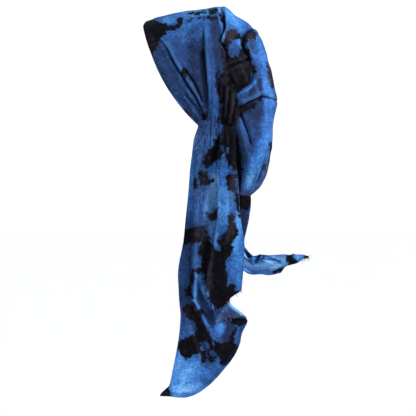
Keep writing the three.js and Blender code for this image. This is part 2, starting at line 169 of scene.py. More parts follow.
# The left tie hangs in a flat Z. Its lines down the cloth: their y at each height, after that
# height, how far its layers stand apart as a factor, and its middle's x
LEFT_TIE_ROWS = np.array([
    (-212, 0.2, 76, -11, -6, -1, 4, 9, 15, 21, 27, 34, 41, 47, 51),
    (-236, 0.8, 89, -18.5, -12, -5, 1, 9, 20, 42, 36, 28, 35, 45, 53),
    (-271, 1.4, 91, -23, -17, -12, -6, 3, 22, 49, 37, 23, 30, 42, 53),
    (-315, 1.65, 90, -27, -18, -15, -10, 1, 24, 50, 38, 23, 31, 44, 57),
    (-365, 1.75, 87, -32, -19, -15, -10, 1, 24, 54, 39, 22, 32, 46, 60),
    (-414, 1.75, 84, -37, -20, -15, -12, -2, 19, 61, 37, 16, 28, 48, 67),
    (-461, 1.65, 82, -45.5, -22, -16, -13, -6, 13, 59, 33, 6, 23, 46, 66),
    (-497, 1.5, 81, -45, -22, -16, -12, -3, 13, 50, 31, 1, 18, 42, 63),
    (-520, 1.35, 80.5, -44, -24, -13, -8, 2, 19, 43, 31, 11, 24, 42, 62),
    (-546, 1.2, 80, -42, -26, -7, -1, 10, 40, 72, 44, 19, 29, 42, 61),
    (-594, 0.8, 79, -47, -22, 26, 39, 51, 69, 80, 50, 30, 40, 50, 62),
    (-640, 0.5, 78, -56, -18, 40, 54, 64, 76, 88, 60, 45, 52, 60, 68),
    (-692, 0.4, 77, -66, -12, 62, 72, 80, 90, 98, 72, 60, 66, 72, 78),
], float)

# How far in x each line lies from a tie's middle, where the left tie's lines end, and the reach
# and the shift of its turned corner
TIE_DEPTHS = np.array([-5, -1, 1.5, 0, -1.5, -5.5, -5, -1.6, 3.2, 5.4, 7.6, 6], float)
LEFT_TIE_ENDS = np.array(
    [-689, -677, -630, -616, -603, -581, -551, -545, -552, -537, -512, -497], float
)
CORNER_REACH, CORNER_FORWARD, CORNER_UP, CORNER_OUT = 0.06, 12.0, 7.0, 3.0

# Narrow ridges that run down from a tie's seam: rise, half widths, and the heights of their path
RIDGE = (1.5, 1.4, 1.8)
RIDGE_HEIGHTS = (-205, -226, -250)


def gather_ridges(ends):
    """Ridges as folds of all lines of a tie, each from y at the seam to y at its lower end."""
    rows = []
    for top, foot in ends:
        path = list(zip((top, 0.6 * top + 0.4 * foot, foot), RIDGE_HEIGHTS))
        rows.append((*RIDGE, 0, path))
    return 0, 11, rows


# Folds of the left tie, each set with the first and last of the lines that it lies on
LEFT_TIE_FOLDS = (
    (0, 5, (
        # front and middle layers
        (3.2, 12, 1.6, 2.5, (-17, -290, -18, -330, -19, -400, -19, -450, -20, -500, -17, -524, -9, -548)),
        (-2.2, 2, 4, 0, (-21, -300, -22, -350, -23, -420, -24, -480)),
        (1.4, 7, 1.6, 1, (2, -306, 0, -330, -2, -356, -5, -384)),
        (-2.4, 4, 3, 0, (-9, -280, -8, -330, -10, -380)),
        (1.8, 2, 3, 0, (2, -224, -4, -236, -12, -247, -19, -254)),
        (-1.6, 3, 4, 0, (-4, -212, -6, -232)),
        # the end
        (-4, 4, 5, 0, (-10, -470, -9, -505, -4, -530, 6, -552, 17, -572)),
        (1.6, 4, 5, 0, (-30, -560, -14, -590, -6, -620)),
        (-1.6, 6, 6, 0, (-20, -556, -2, -592, 14, -622)),
        (1.2, 5, 3, 0, (-12, -646, 10, -650, 26, -642)),
        (-1.4, 8, 5, 0, (-40, -672, -24, -650, -10, -640)),
    )),
    gather_ridges(((3, 1), (8, 5), (12, 10), (17, 15), (26, 30), (34, 42))),
    (8, 11, (
        # rear layer
        (2.4, 5, 3, 0, (27, -258, 28, -280, 27, -304)),
        (-2.6, 6, 6, 0, (39, -262, 40, -300, 42, -350, 44, -400)),
        (1.4, 8, 2, 0, (36, -440, 34, -470, 30, -505)),
        (-2, 8, 6, 0, (50, -430, 52, -470, 46, -500)),
        (-1.6, 5, 5, 0, (16, -450, 17, -500)),
    )),
)
RIGHT_TIE_FOLDS = (
    gather_ridges(((-2, -6), (5, 2), (13, 12), (22, 28), (31, 42))),
    (0, 11, (
        # the bend
        (8, 5, 4, 0, (75, -424, 77, -438, 83, -448, 92, -454)),
        (-3, 3, 3, 0, (68, -418, 68, -440, 75, -456, 90, -461, 116, -462)),
        (5, 2.5, 2.5, 0, (101, -439, 97, -447, 93, -454)),
        (3, 5, 5, 0, (72, -464, 95, -468, 120, -468)),
        (2.5, 2, 2.5, 0, (103, -440, 112, -447, 124, -451, 138, -452)),
        (-2.5, 3, 3, 0, (104, -448, 114, -454, 128, -457)),
        # the end
        (3, 2, 3, 0, (146, -439, 154, -447, 160, -456)),
        (-2.4, 3, 2, 0, (156, -438, 165, -444, 170, -450)),
    )),
)

# Finer folds of both ties: the pleats below the seam, their lines and their end; long folds, dents
# and rumples, with their turns across and down; how points stray in y and z towards a ragged end;
# the lines at which the hem ends; the shares at top and end that lie calm
PLEAT_COUNT, PLEAT_RISE, TIE_DRIFT, DRIFT_TURNS = 9, 1.1, 0.02, (5, 6)
PLEAT_LINES, PLEAT_DOWN = (2, 4), (0.05, 0.26)
LONG_RISE, LONG_TURNS = 1.1, (9, 3.4)
DENT_RISE, DENT_TURNS = 0.8, (7, 13)
RUMPLE_RISE, RUMPLE_TURNS, RUMPLE_SLANT = 0.5, (4, 9), 0.75
CRUMPLED_FROM, RAGGED_FROM = (0.5, 0.75), (0.6, 0.8)
RAGGED = ((1, 1.2, (5, 14)), (2, 1.6, (4, 16)))
HEM_LINES = (6, 7)
CALM_TOP, CALM_END = 0.05, 0.03

# The right tie's course: x, y, z, half of its width, how far its layers stand apart
RIGHT_TIE_ROWS = np.array([
    (-76.5, 20.5, -214, 29.5, 0.2),
    (-92, 13, -245, 28, 1.1),
    (-95, 25, -284, 31, 1.5),
    (-80, 49, -328, 34, 1.5),
    (-66, 56, -370, 25.5, 1.4),
    (-58, 57, -408, 16, 1.3),
    (-52, 61, -432, 12, 1.4),
    (-47, 73, -453, 14, 1.3),
    (-42, 97, -459, 17, 1.1),
    (-38, 124, -458.5, 17, 0.9),
    (-34, 147, -453.5, 14, 0.7),
    (-30, 168, -450, 9.5, 0.6),
    (-26, 189, -447, 4, 0.5),
], float)

# Where its lines lie across it at the seam, and folded, from FOLDED_BY of its length on, and the
# share of the length at which each line ends
RIGHT_TIE_FLAT = np.array([-1, -0.8, -0.62, -0.44, -0.26, -0.08, 0.1, 0.28, 0.46, 0.64, 0.82, 1])
RIGHT_TIE_FOLDED = np.array([-1, -0.82, -0.6, -0.45, -0.2, 0.3, 0.95, 0.5, 0.1, 0.4, 0.72, 1])
RIGHT_TIE_CUT = np.array([0.85, 0.87, 0.89, 0.91, 0.94, 0.97, 1, 0.99, 0.96, 0.97, 0.99, 1])
FOLDED_BY = 0.14

# Black on the crown, mostly dye and in places painted shadow, each patch by its outline as y, z,
# y, z and so on, and what is clear of it
CROWN_BLACK = (
    (-116, -22, -92, -20, -78, -24, -68, -28, -64, -36, -68, -44, -74, -52, -80, -66, -93, -86, -108, -72,
     -116, -44),
    (-50, -16, -39, -14, -38, -26, -45, -37, -57, -41, -62, -34, -50, -28),
    (-32, -7, 2, -3, 4, -8, -10, -10, -24, -11, -33, -12),
    (6, 0, 20, 4, 22, -8, 14, -14, 6, -12),
    (22, -8, 30, -8, 35, -18, 35, -36, 30, -28, 24, -16),
    (-36, -26, -24, -19, 0, -17, 24, -17, 24, -20, 0, -20, -20, -21, -33, -27),
    (40, -44, 50, -42, 60, -47, 63, -54, 57, -58, 47, -58, 42, -66, 36, -76, 28, -76, 34, -60, 38, -50),
    # This patch in the rear corner's valley is partly dye and partly painted shade
    (66, -56, 74, -45, 84, -36, 93, -42, 90, -55, 79, -60, 73, -66, 76, -78, 81, -90, 82, -99, 72, -99,
     60, -94, 58, -88, 64, -76, 65, -64),
    (26, -76, 38, -78, 44, -87, 58, -89, 66, -96, 82, -98, 84, -106, 90, -115, 82, -120, 81, -130,
     74, -142, 66, -150, 56, -156, 58, -172, 66, -186, 60, -198, 55, -216, 30, -216, 24, -200, 30, -180,
     26, -160, 20, -150, 18, -138, 28, -126, 34, -116, 30, -100),
    (110, -98, 115, -100, 122, -118, 126, -139, 120, -142, 117, -132, 111, -116),
    # A painted shadow under the deep crease between the back and the pouch
    (60, -178, 80, -172, 97, -166, 92, -177, 76, -184, 60, -192),
    (50, -227, 55, -227, 58, -240, 66, -268, 66, -300, 62, -332, 52, -332, 50, -280, 48, -240),
    (115, -240, 121, -238, 119, -262, 115, -284, 110, -282, 115, -258),
    (103, -276, 110, -274, 108, -289, 100, -287),
    (-41, -116, -36, -111, -31, -118, -35, -125, -41, -123),
    (-8, -194, -2, -186, 5, -186, 8, -194, 2, -208, -6, -208),
)
CROWN_CLEAR = ((43, -86, 46, -72, 55, -66, 61, -68, 59, -77, 50, -90),)

# Black on the ties, mostly dye and in places painted shadow, and what is clear of it
TIE_BLACK = (
    (15, -238, 22, -230, 31, -228, 35, -205, 58, -215, 56, -262, 52, -274, 43, -276, 37, -268, 34, -258,
     25, -268, 12, -274, 2, -284, -4, -278, -1, -264, 8, -252, 18, -246),
    (-12, -292, -6, -289, 4, -295, 7, -305, 15, -307, 10, -313, 2, -317, -7, -314, -13, -302),
    (-19, -301, -14, -301, -15, -319, -19, -317),
    (34, -300, 40, -292, 54, -296, 57, -320, 61, -350, 62, -372, 58, -372, 54, -350, 49, -330, 41, -323,
     34, -312),
    (40, -270, 54, -272, 56, -288, 47, -291, 45, -282, 40, -284),
    (3, -363, 12, -364, 21, -357, 22, -374, 8, -379),
    (41, -368, 46, -361, 51, -366, 52, -384, 55, -394, 57, -402, 52, -409, 48, -417, 48, -420, 48, -434,
     38, -440, 30, -430, 22, -413, 29, -404, 35, -394, 39, -382),
    (-38, -393, -20, -389, 0, -387, 5, -396, 8, -408, 12, -417, 16, -424, 24, -430, 40, -432, 47, -428,
     46, -438, 38, -440, 37, -452, 40, -470, 38, -490, 47, -485, 54, -493, 63, -500, 52, -510, 40, -520,
     26, -530, 16, -534, 12, -522, 6, -506, 2, -490, -2, -480, 2, -470, -8, -467, -14, -468, -19, -462,
     -6, -460, -4, -446, -10, -436, -12, -424, -8, -416, -20, -414, -42, -419),
    (-38, -527, -20, -521, -12, -532, -3, -535, -6, -546, -2, -558, 6, -568, 12, -582, 18, -598, 20, -612,
     12, -624, 4, -612, 0, -630, -6, -626, -9, -610, -20, -610, -32, -619, -42, -610, -45, -602, -46, -586,
     -34, -580, -20, -574, -12, -566, -14, -558, -24, -549, -35, -537),
    (16, -585, 32, -592, 42, -586, 42, -576, 55, -565, 52, -588, 62, -597, 52, -618, 36, -629, 28, -624,
     26, -616, 18, -606),
    (-84, -660, -59, -665, -59, -676, -63, -694, -76, -690),
    # A painted shadow under the turned corner of the tie's end
    (46, -553, 58, -546, 76, -546, 76, -557, 58, -559),
    (-29, -474, -20, -461, -18, -478, -26, -487),
    (-35, -496, -24, -493, -21, -509, -32, -505),
)
TIE_CLEAR = (
    (27, -247, 33, -247, 33, -257, 27, -258),
    (36, -251, 42, -252, 42, -260, 37, -260),
    (-9, -590, 0, -585, 7, -596, 2, -605, -6, -601),
    (9, -600, 16, -602, 23, -612, 16, -617, 8, -612),
)
RIGHT_TIE_BLACK = (
    # A painted shadow where the pouch shades the right tie
    (54, -330, 90, -330, 86, -350, 78, -362, 66, -356, 58, -345),
    (126, -474, 134, -466, 158, -460, 160, -466, 146, -470),
    (150, -438, 155, -437, 166, -450, 169, -456, 163, -463, 156, -462, 149, -450),
    (180, -440, 192, -443, 192, -451, 182, -449),
    (-10, -230, 26, -226, 40, -262, 20, -280, -4, -262),
)

# Where the colour between the black is deep navy at -1, royal blue at 0 and pale blue at 1:
# tone, y, z, half length, half width, tilt in degrees. Spots give the dye's tone and also paint light:
# narrow light spots are painted highlights along fold edges and crests, and dark spots in creases and
# hollows are painted shade. First the tone between these spots and its weight, the half width below
# which a spot counts for more, and how sharp a spot's edge is
BETWEEN_TONES, BETWEEN_WEIGHT = -0.45, 0.12
NARROW_TELLS, SPOT_EDGE = 8.0, 1.2
CROWN_TONES = (
    (0.8, -62, -22, 28, 7, 14), (1.1, -8, -6, 34, 6, 5), (0.5, -30, -28, 26, 8, 16),
    (0.2, -48, -52, 20, 10, 0), (0.1, -20, -46, 18, 14, 0), (-1.0, -11, -87, 6, 5, 0),
    (-0.75, -70, -106, 56, 10, -60), (-0.35, -47, -84, 30, 8, -64), (0.7, -62, -82, 42, 2, -60),
    (-0.8, -30, -128, 14, 4, -56), (-0.3, -24, -148, 26, 1.8, -56), (-1.3, -12, -112, 40, 12, -86),
    (-1.1, -1, -110, 34, 3, -88), (-0.25, 10, -115, 56, 6, -86), (0.9, 5, -115, 44, 1.6, -85),
    (0.2, 0, -42, 26, 5, -88), (-1.2, 22, -58, 34, 8, 90), (-0.8, 27, -100, 28, 6, 85),
    (-0.7, -14, -172, 24, 10, -60), (1.4, 38, -8, 16, 5, -30), (0.9, 52, -22, 26, 12, -28),
    (0.4, 70, -38, 12, 6, 30), (-0.9, 80, -56, 22, 7, -78), (1.0, 65, -66, 16, 4, -50),
    (-1.0, 28, -40, 12, 4, -80), (0.0, 88, -72, 26, 5, -74), (0.5, 101, -84, 38, 6, -72),
    (0.8, 110, -146, 22, 6, -75), (-0.8, 90, -142, 22, 8, -85), (-1.2, 91, -188, 26, 12, -80),
    (0.5, 106, -218, 20, 7, -80), (0.4, 113, -195, 30, 7, -82), (-0.6, 78, -256, 18, 5, 78),
    (0.4, 84, -278, 54, 9, 62), (0.6, 98, -258, 24, 4, 72), (1.9, 78, -302, 14, 5, 80),
    (0.2, 112, -256, 30, 5, 71), (-0.8, 58, -300, 30, 4, -85), (-0.6, 106, -280, 16, 3, 70),
    (1.2, 30, -44, 34, 2.4, -82), (0.7, 86, -128, 24, 3, -76), (-1.5, 88, -147, 13, 5, 60),
    (0.4, 71, -147, 12, 4, 30),
)
# Along the left tie's Z the narrow light lines are painted highlights on its fold edges, and the dark spot
# under the turned corner is a painted shadow
TIE_TONES = (
    (0.0, -16, -280, 30, 5, 90), (0.1, 14, -284, 14, 8, 90), (0.1, 30, -278, 16, 5, 90),
    (-0.5, 0, -322, 16, 4, 90), (0.7, 8, -336, 26, 12, 90), (0.95, 36, -345, 40, 11, 90),
    (0.8, -23, -296, 50, 5, 86), (-0.4, -14, -350, 50, 4, 89), (1.2, 22, -354, 16, 4, 88),
    (1.1, 14, -394, 26, 6, 88), (1.9, 16, -308, 26, 5, 88), (0.5, 57, -440, 56, 8, 90),
    (0.0, 44, -468, 26, 7, 88), (1.3, 57, -385, 34, 5, 82), (-0.6, -35, -470, 62, 10, 90),
    (0.9, -17, -498, 22, 2.4, 86), (0.8, -10, -530, 16, 2.2, -64), (-1.0, -5, -518, 22, 6, -66),
    (1.1, 3, -507, 24, 3.5, -62), (0.5, -4, -477, 12, 4, 80), (-1.4, -12, -487, 8, 5, 90),
    (0.1, 2, -554, 12, 6, -50), (0.0, 10, -574, 18, 4, -58), (0.0, -34, -560, 22, 9, 90),
    (0.8, 27, -556, 13, 8, 80), (-1.5, 40, -584, 22, 6, 80), (-0.3, 57, -575, 18, 5, 74),
    (1.8, 54, -531, 22, 2.6, -42), (-2.2, 43, -546, 16, 7, 10), (-1.0, 18, -537, 8, 4, 0),
    (-1.2, 0, -537, 14, 5, -50), (1.6, -34, -650, 30, 18, 60), (0.2, 2, -646, 34, 12, 35),
    (1.6, -28, -668, 22, 8, 10), (1.0, -48, -630, 34, 6, 72),
)
# On the right tie the first spot paints the shadow under the pouch and the left tie, and the broad pale
# spots paint light on its lit bend
RIGHT_TIE_TONES = (
    (-1.4, 64, -366, 34, 8, -84), (1.8, 105, -456, 46, 12, 0), (-1.1, 80, -441, 14, 4, -58),
    (2.2, 73, -448, 16, 5, -72), (2.4, 82, -460, 16, 6, -15), (1.1, 91, -444, 7, 4, -20),
    (-0.1, 103, -452, 6, 6, 0), (2.4, 119, -457, 16, 7, 0), (1.5, 140, -449, 12, 8, 0),
    (1.0, 172, -446, 8, 5, 0), (-0.9, 96, -447, 8, 2, 55), (-0.6, 128, -450, 10, 2, -20),
    (1.5, 65, -412, 14, 4, -50),
)

# Where the pile is greyish, partly faded dye and partly painted sheen on lit crests and painted shade on
# shaded panels: how much, y, z, half length, half width, tilt in degrees
CROWN_FADE_AND_SHEEN = (
    (0.8, -70, -104, 56, 10, -60), (0.5, -40, -54, 20, 14, 0), (0.9, 64, -240, 46, 8, -80),
    (0.6, 60, -106, 18, 5, 15), (0.3, -14, -110, 50, 12, -88), (0.6, 22, -50, 34, 10, -88),
    (0.9, 45, -54, 22, 10, 60), (0.3, 82, -152, 20, 11, 18), (0.7, 80, -58, 22, 7, -78),
    (0.5, 82, -212, 30, 12, -85), (0.8, 70, -328, 14, 6, 20), (0.7, 106, -284, 10, 6, 70),
    (0.6, 44, -160, 40, 10, -80), (0.5, 30, -100, 30, 8, -80), (0.7, 112, -116, 24, 5, -72),
)
TIE_FADE_AND_SHEEN = (
    (0.7, -12, -240, 34, 12, 85), (0.9, 8, -345, 62, 16, 90), (0.5, -30, -540, 30, 12, 90),
    (1.0, 48, -322, 34, 9, 86), (1.0, 46, -386, 28, 9, 80), (0.7, 6, -480, 44, 7, 88),
    (0.3, 42, -530, 14, 8, 0), (0.3, -6, -400, 26, 12, 0), (0.4, -14, -350, 60, 6, 90),
    (0.6, 12, -424, 40, 4, 85), (0.4, 8, -560, 30, 8, -60), (0.3, 10, -650, 30, 14, 30),
)
RIGHT_TIE_FADE_AND_SHEEN = ((0.3, 130, -450, 30, 6, 0),)

# The free pattern on the crown's right side, its middle value and the rise, size and seed of each
# noise; where in x the chart takes over; and the depth that stands for no black near
FREE_BLACK = (-5, (22, 58, 11), (12, 24, 14))
FREE_TONE = (0.1, (1.7, 70, 12))
FREE_FADING = (0.4, (0.8, 55, 13))
CHARTED_FROM = (-30, 20)
FAR = -40.0

# Loose threads on the ties' cut edges
THREADS, THREAD_SEED = 34, 4
THREAD_RADIUS, THREAD_TAPER, THREAD_CURL = 0.3, 0.6, 0.35
THREAD_LENGTHS, THREAD_WAY, THREAD_SPREAD = (3, 11), (0, 0.35, -1), 0.45
THREAD_STEPS, THREAD_SIDES = 7, 5

# Colours, linear: black, then the tones above from navy to pale, the same where the pile is greyed by
# fading and by painted sheen and shade, the painted highlight on crests, the wrong side, black greyed
# by wear and by painted sheen, loose threads, the floor; then how matt they are
BLACK_DYE = (0.0022, 0.0020, 0.0045, 1)
NAVY_DYE = (0.012, 0.022, 0.062, 1)
SLATE_DYE = (0.020, 0.056, 0.180, 1)
ROYAL_DYE = (0.030, 0.122, 0.385, 1)
SKY_DYE = (0.062, 0.232, 0.60, 1)
PALE_DYE = (0.20, 0.45, 0.84, 1)
FADE_AND_SHEEN_DARK = (0.023, 0.050, 0.135, 1)
FADE_AND_SHEEN_LIGHT = (0.098, 0.215, 0.47, 1)
CREST_HIGHLIGHT = (0.095, 0.25, 0.58, 1)
WRONG_SIDE = (0.085, 0.105, 0.20, 1)
BLACK_WEAR_AND_SHEEN = (0.022, 0.020, 0.028, 1)
LOOSE_THREAD = (0.16, 0.22, 0.34, 1)
FLOOR_COLOUR = (0.95, 0.95, 0.95, 1)
MATT = 0.9
VELOUR_PILE = {
    "Roughness": MATT, "Specular IOR Level": 0.06, "Sheen Weight": 0.06, "Sheen Roughness": 0.4,
    "Sheen Tint": (0.45, 0.65, 0.9, 1),
}

# Each blue with the range of tone in which it takes over. Other ranges say where a thing sets in,
# some also how strong it gets; a noise has its scale, detail, roughness and strength
BLUES = (
    (-1.0, -0.35, SLATE_DYE), (-0.3, 0.35, ROYAL_DYE), (0.3, 0.9, SKY_DYE), (0.85, 1.7, PALE_DYE),
)
MOTTLING = ((30, 5, 0.65, 1.8), (170, 6, 0.75, 2.4), (420, 3, 0.6, 1.9))
GREY_RANGE = (-0.7, 0.9)
# Greying of the pile by fading and by painted sheen and shade: its noise, where it sets in and how strong
# it gets
FADE_AND_SHEEN_NOISE, FADE_AND_SHEEN_RANGE = (60, 5, 0.7, 1.2), (0.1, 0.9, 0.7)
# Painted highlight on the crests of folds: where it sets in and how strong it gets, on the blues and on
# the black
CREST_HIGHLIGHT_RANGE, BLACK_CREST_HIGHLIGHT_RANGE = (0.1, 1.3, 0.26), (0.1, 1.3, 0.5)
BLACK_NOISES, BLACK_RANGE = ((120, 8, 0.72, 2.6), (34, 3, 0.5, 1.2)), (-0.05, 0.08)
HALO_RANGE = (-0.4, 0.0, 0.4)
# Black greyed partly by random wear and partly by painted sheen: its share of the fade-and-sheen mark, its
# noise and range
WEAR_AND_SHEEN_SHARE, WEAR_AND_SHEEN_NOISE, WEAR_AND_SHEEN_RANGE = 0.36, (130, 6, 0.75, 1.0), (0.0, 0.3)
STREAK_NOISE, STREAK_RANGE = (110, 6, 0.75, 1.0), (-0.08, 0.22, 0.4)
WRONG_SHARE = 0.12
# Painted shade: how deep a crease must be before it darkens towards black, and how far
CREASE_SHADE_RANGE = (0.1, 1.2, 0.8)
STITCH_SHARE, STITCH_DENT = 0.6, 0.8
NAP = {"Strength": 0.6, "Distance": 0.0014}
NAP_NOISES = ((800, 3, 0.6), (170, 6, 0.7, 3.4))

# The photo's frame: its width in millimetres at the middle plane, what its centre looks at, the
# camera's distance, and how far it sees, in metres
FRAME_WIDTH = 748.8
FRAME_CENTRE = (0.0, 5.4, -354.6)
CAMERA_DISTANCE = 2400.0
SENSOR, SIGHT = 36.0, 50

# Studio: the floor's height and half width; a white screen all round, up to a low height, a dim
# room above it, and a wide key light from above the camera's right
FLOOR_Z, FLOOR_HALF = -900.0, 30000.0
ROOM_LIGHT = (0.18, 0.185, 0.195, 1)
SCREEN_LIGHT = (1.05, 1.05, 1.05, 1)
SCREEN_TOP = (0.18, 0.30)
KEY_FROM, KEY_STRENGTH, KEY_WIDTH = (0.45, 0.75, 0.66), 4.4, 18


def smooth(low, high, value):
    share = np.clip((value - low) / (high - low), 0, 1)
    return share * share * (3 - 2 * share)


def hermite(before, a, b, after, f):
    """The value at f from a to b on a smooth curve that also runs through before and after."""
    f2, f3 = f * f, f * f * f
    start, end = 2 * f3 - 3 * f2 + 1, 3 * f2 - 2 * f3
    return start * a + (f3 - 2 * f2 + f) * (b - before) / 2 + end * b + (f3 - f2) * (after - a) / 2


def curve_through(values, t):
    """A smooth curve through evenly spaced values, or rows of values, at each position t."""
    values, t = np.asarray(values, float), np.asarray(t, float)
    last = len(values) - 1
    i = np.clip(np.floor(t).astype(int), 0, last - 1)
    f = t - i
    first, final = 2 * values[0] - values[1], 2 * values[-1] - values[-2]
    run = np.concatenate([first[None], values, final[None]])
    if values.ndim > 1:
        f = f[..., None]
    return hermite(run[i], run[i + 1], run[i + 2], run[i + 3], f)


def even_steps(points, share):
    """The row position at a share of the length of a path through points."""
    lengths = np.concatenate([[0], np.cumsum(np.linalg.norm(np.diff(points, axis=0), axis=1))])
    return np.interp(np.asarray(share) * lengths[-1], lengths, np.arange(len(points)))


def gather_point(angle):
    along = GATHER_HALF_LENGTH * np.cos(angle)
    up = GATHER_HALF_HEIGHT * np.sin(angle)
    y = GATHER_Y + along * math.cos(GATHER_TILT) - up * math.sin(GATHER_TILT)
    z = GATHER_Z + along * math.sin(GATHER_TILT) + up * math.cos(GATHER_TILT)
    return y, z


def seam_height(y):
    """The height of a tie's top edge at a place along the gather."""
    along = (y - GATHER_Y) / math.cos(GATHER_TILT)
    up = GATHER_HALF_HEIGHT * np.sqrt(np.maximum(1 - (along / GATHER_HALF_LENGTH) ** 2, 0))
    return GATHER_Z + along * math.sin(GATHER_TILT) + up - SEAM_GAP


def crown_base(share, across):
    """The smooth crown: share from face edge to nape hem, across from right to left gather."""
    rows = curve_through(CROWN_ROWS, even_steps(CROWN_ROWS[:, :2], share))
    row_y, row_z, belly, bow, bow_at, seam = np.moveaxis(rows, -1, 0)
    turn = (math.pi / 2) * (1 - (1 - np.abs(across)) ** CROWDING)
    out = np.maximum(np.cos(turn), 0) ** (2 / ROUNDNESS)
    wide = np.sin(turn) ** (2 / ROUNDNESS)
    gather_y, gather_z = gather_point(np.radians(seam))
    run_y, run_z = row_y - gather_y, row_z - gather_z
    lean = bow_at / (1 - bow_at)
    shape = out**lean * (1 - out) / (bow_at**lean * (1 - bow_at))
    bend = shape * bow / np.hypot(run_y, run_z)
    x = np.sign(across) * wide * (GATHER_X + 4 * belly * out * (1 - out))
    y = gather_y + run_y * out - run_z * bend
    z = gather_z + run_z * out + run_y * bend
    return np.stack([x, y, z], axis=-1)


def normals(surface, a, b, low_b=-1.0):
    """Outward normals of a surface given by two numbers."""
    step = 0.002
    along_a = surface(np.minimum(a + step, 1), b) - surface(np.maximum(a - step, 0), b)
    along_b = surface(a, np.minimum(b + step, 1)) - surface(a, np.maximum(b - step, low_b))
    across = np.cross(along_b, along_a)
    return across / np.maximum(np.linalg.norm(across, axis=-1, keepdims=True), 1e-9)


def beside_path(path, y, z):
    """Distance, side, share along and direction to the path's right, for points beside it."""
    fine = curve_through(path, np.linspace(0, len(path) - 1, 4 * len(path) - 3))
    best = np.full(y.shape, np.inf)
    side, along = np.ones(y.shape), np.zeros(y.shape)
    right = np.zeros(y.shape + (2,))
    for i in range(len(fine) - 1):
        ay, az = fine[i]
        dy, dz = fine[i + 1] - fine[i]
        part = np.clip(((y - ay) * dy + (z - az) * dz) / (dy * dy + dz * dz), 0, 1)
        distance = np.hypot(y - ay - dy * part, z - az - dz * part)
        closer = distance < best
        best = np.where(closer, distance, best)
        side = np.where(closer, np.where(dy * (z - az) - dz * (y - ay) >= 0, 1, -1), side)
        along = np.where(closer, (i + part) / (len(fine) - 1), along)
        right[closer] = np.array([dz, -dy]) / math.hypot(dy, dz)
    return best, side, along, right


def fold_shift(folds, y, z):
    """Height of the folds at (y, z), and how far their crests lean in (y, z)."""
    height = np.zeros(y.shape)
    lean = np.zeros(y.shape + (2,))
    for rise, width, edge, overhang, path in folds:
        reach = FOLD_REACH * max(width, edge)
        path = np.reshape(path, (-1, 2)).astype(float)
        low, high = path.min(axis=0) - reach, path.max(axis=0) + reach
        near = (y > low[0]) & (y < high[0]) & (z > low[1]) & (z < high[1])
        distance, side, along, right = beside_path(path, y[near], z[near])
        ends = smooth(0, FOLD_ENDS[0], along) * smooth(0, FOLD_ENDS[1], 1 - along)
        sharpness = CREASE_SHARPNESS if rise < 0 else ROLL_SHARPNESS
        share = distance / np.where(side > 0, width, edge)
        here = (FOLD_LEFT + (1 - FOLD_LEFT) * ends) * np.exp(-(share**sharpness))
        height[near] += rise * here
        lean[near] += (overhang * here)[..., None] * right
    return height, lean


def grain(points, scale, seed):
    """Soft noise from -1 to 1 at each point, with features about scale across."""
    flat = (points.reshape(-1, 3) / scale + np.array([seed, 2 * seed, 3 * seed])).tolist()
    values = [noise.noise(Vector(p)) for p in flat]
    return np.array(values).reshape(points.shape[:-1])


def plane(first, second):
    return np.stack([first, second, np.zeros(first.shape)], axis=-1)


def waves(first, second, turns, seed):
    """Soft noise with so many turns along each of two numbers."""
    return grain(plane(first * turns[0], second * turns[1]), 1, seed)


def creased(points, scale, seed):
    """Noise about 0 with narrow creases between soft swells."""
    return 3.2 * np.abs(grain(points, scale, seed)) - 0.6


def crease_depth(height):
    """How deep each point of a grid lies below the cloth around it, below zero on a crest."""
    soft = height.copy()
    for _ in range(CREASE_ROUNDS):
        beside = soft[2:, 1:-1] + soft[:-2, 1:-1] + soft[1:-1, 2:] + soft[1:-1, :-2]
        soft[1:-1, 1:-1] = (soft[1:-1, 1:-1] + beside) / 5
    return soft - height


def pleated(turns):
    """Rounded pleats about 0 with narrow creases between them."""
    return 2 * np.abs(np.cos(turns)) - 1.2


def pleat_height(share, across):
    out = 1 - np.abs(across)
    drift = PLEAT_DRIFT * grain(plane(share * 7 + 3 * np.sign(across), 2 * across), 1, 5)
    swell = 1 + PLEAT_VARIETY * grain(plane(share * 9, np.sign(across)), 1, 6)
    height = np.zeros(share.shape)
    for count, rise, reach, phase in PLEATS:
        wave = pleated(math.pi * count * (share + drift) + phase)
        height += rise * wave * np.exp(-((out / reach) ** 2))
    return height * swell * (1 - smooth(*PLEATS_END, share))


def grid(steps, low=0):
    """Two numbers on a grid: the first from 0 to 1, the second from low to 1."""
    first, second = np.linspace(0, 1, steps[0] + 1), np.linspace(low, 1, steps[1] + 1)
    return np.meshgrid(first, second, indexing="ij")


def crown_folds(base, share, out):
    """Height and lean of the folds of both sides, and how freely the cloth folds there."""
    x, y, z = np.moveaxis(base, -1, 0)
    left_height, left_lean = fold_shift(CROWN_FOLDS, y, z)
    right_height, right_lean = fold_shift(CROWN_FOLDS, y + RIGHT_SHIFT[0], z - RIGHT_SHIFT[1])
    left = smooth(-SIDES_MEET, SIDES_MEET, x)
    calm = 1 - MIDDLE_CALM * (1 - smooth(0, CALM_WIDTH, np.abs(x)))
    face, nape, gather = FOLDS_FADE
    calm *= smooth(0, face, share) * smooth(0, nape, 1 - share) * (0.2 + 0.8 * smooth(0, gather, out))
    height = calm * (left * left_height + (1 - left) * RIGHT_SCALE * right_height)
    lean = (calm * smooth(*LEAN_FROM, np.abs(x)))[..., None] * (
        left[..., None] * left_lean + (1 - left)[..., None] * RIGHT_SCALE * right_lean
    )
    return height, lean, calm


